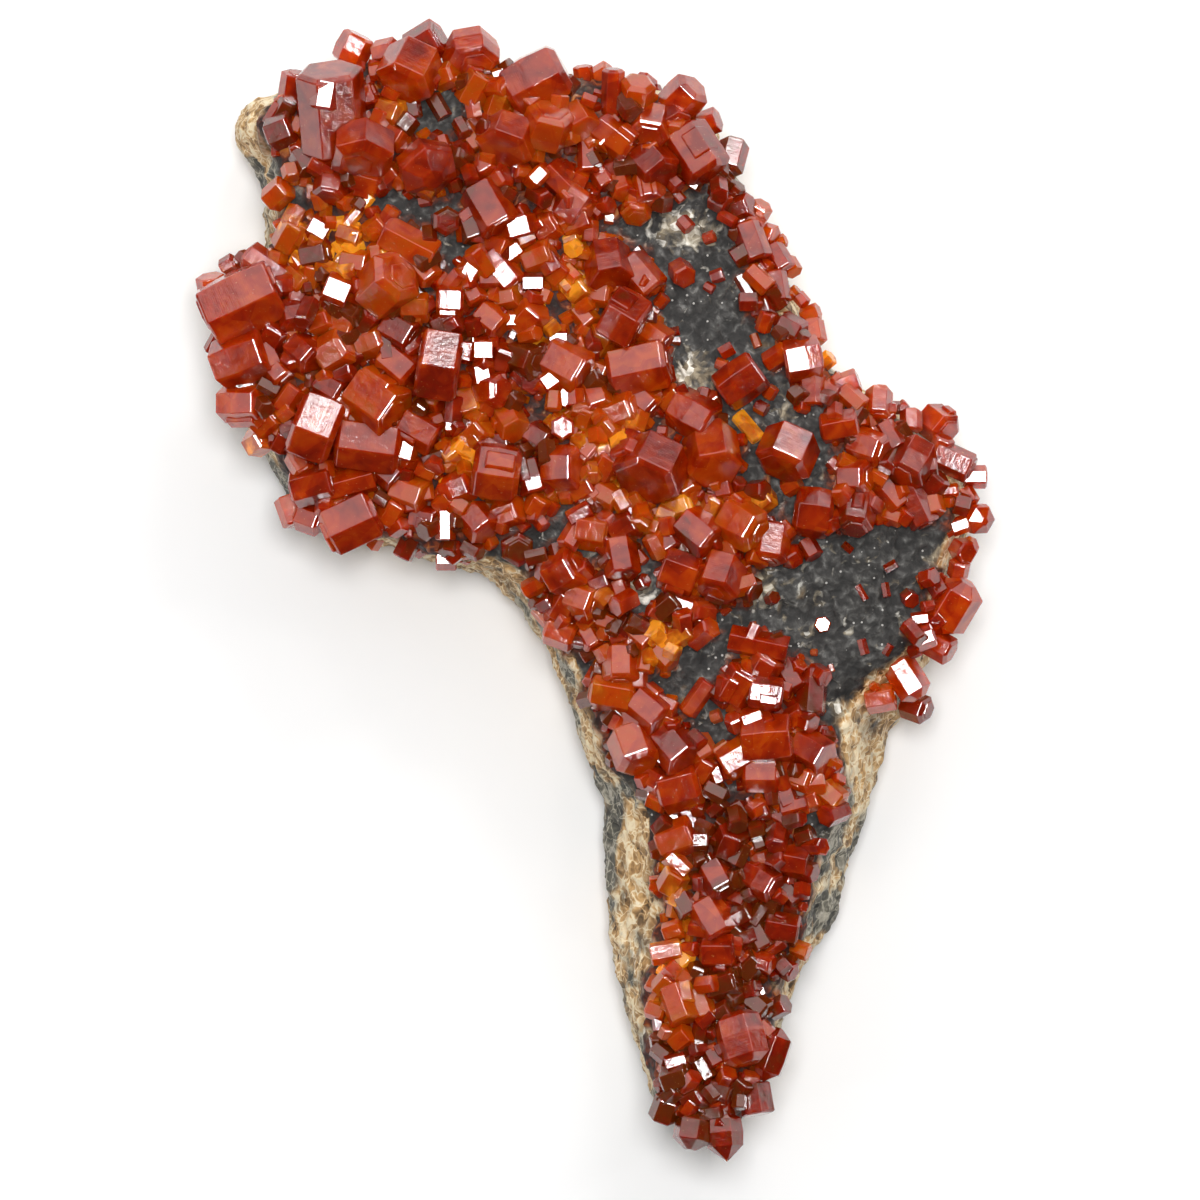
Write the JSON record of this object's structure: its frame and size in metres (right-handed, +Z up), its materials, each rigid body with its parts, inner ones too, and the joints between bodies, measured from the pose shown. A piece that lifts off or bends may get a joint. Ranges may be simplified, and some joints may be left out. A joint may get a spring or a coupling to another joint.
{
  "type": "vanadinite on matrix",
  "caption": "Flat-lying slab of dark, brown-weathered rock covered with crusts and single stubby six-sided red-orange crystals; display specimen that rests on its flat back.",
  "frame": {"origin": "a point on the flat rest face under the middle of the specimen", "axes": "+Z up away from the rest face, towards the crystals; +Y along the length, from the narrow tail to the broad crown; +X to the right seen from above"},
  "size_m": [0.0605, 0.0861, 0.0202],
  "materials": {
    "matrix_rock": "dark grey, finely felted crust with small sparkles; broken sides weathered ochre brown, veined and porous",
    "vanadinite_crust": "translucent deep red to orange crystals grown together, smooth glossy faces with faint growth steps",
    "vanadinite_red": "translucent deep red single crystals with smooth glossy faces",
    "vanadinite_amber": "clearer amber to brown-orange single crystals with smooth glossy faces"
  },
  "bodies": {
    "root": {"matrix": "matrix_rock", "crown_left_cluster": "vanadinite_crust", "upper_middle_cluster": "vanadinite_crust", "left_lobe_cluster": "vanadinite_crust", "centre_cluster": "vanadinite_crust", "centre_right_cluster": "vanadinite_crust", "lower_band_cluster": "vanadinite_crust", "tail_left_cluster": "vanadinite_crust", "tail_middle_cluster": "vanadinite_crust", "right_cluster": "vanadinite_crust", "right_rim_cluster": "vanadinite_crust", "edge_chain_cluster": "vanadinite_crust", "crown_right_cluster": "vanadinite_crust", "left_ledge_cluster": "vanadinite_crust", "left_lower_cluster": "vanadinite_crust", "centre_lower_cluster": "vanadinite_crust", "heart_cluster": "vanadinite_crust", "notch_cluster": "vanadinite_crust", "tail_right_cluster": "vanadinite_crust", "tail_end_cluster": "vanadinite_crust", "right_shoulder_cluster": "vanadinite_crust", "right_corner_cluster": "vanadinite_crust", "upper_island_crystal": "vanadinite_red", "middle_island_crystal": "vanadinite_red", "lower_island_crystal": "vanadinite_red", "tilted_prism": "vanadinite_red", "round_purple_crystal": "vanadinite_red", "steep_crystal": "vanadinite_red", "hexagon_crystal": "vanadinite_red", "notch_glint_crystal": "vanadinite_red", "rim_glint_crystal": "vanadinite_red", "small_right_crystal": "vanadinite_red", "rim_hexagon_crystal": "vanadinite_red", "lobe_amber_crystal": "vanadinite_amber", "glowing_prism": "vanadinite_amber", "ledge_amber_crystal": "vanadinite_amber"}
  },
  "joints": []
}
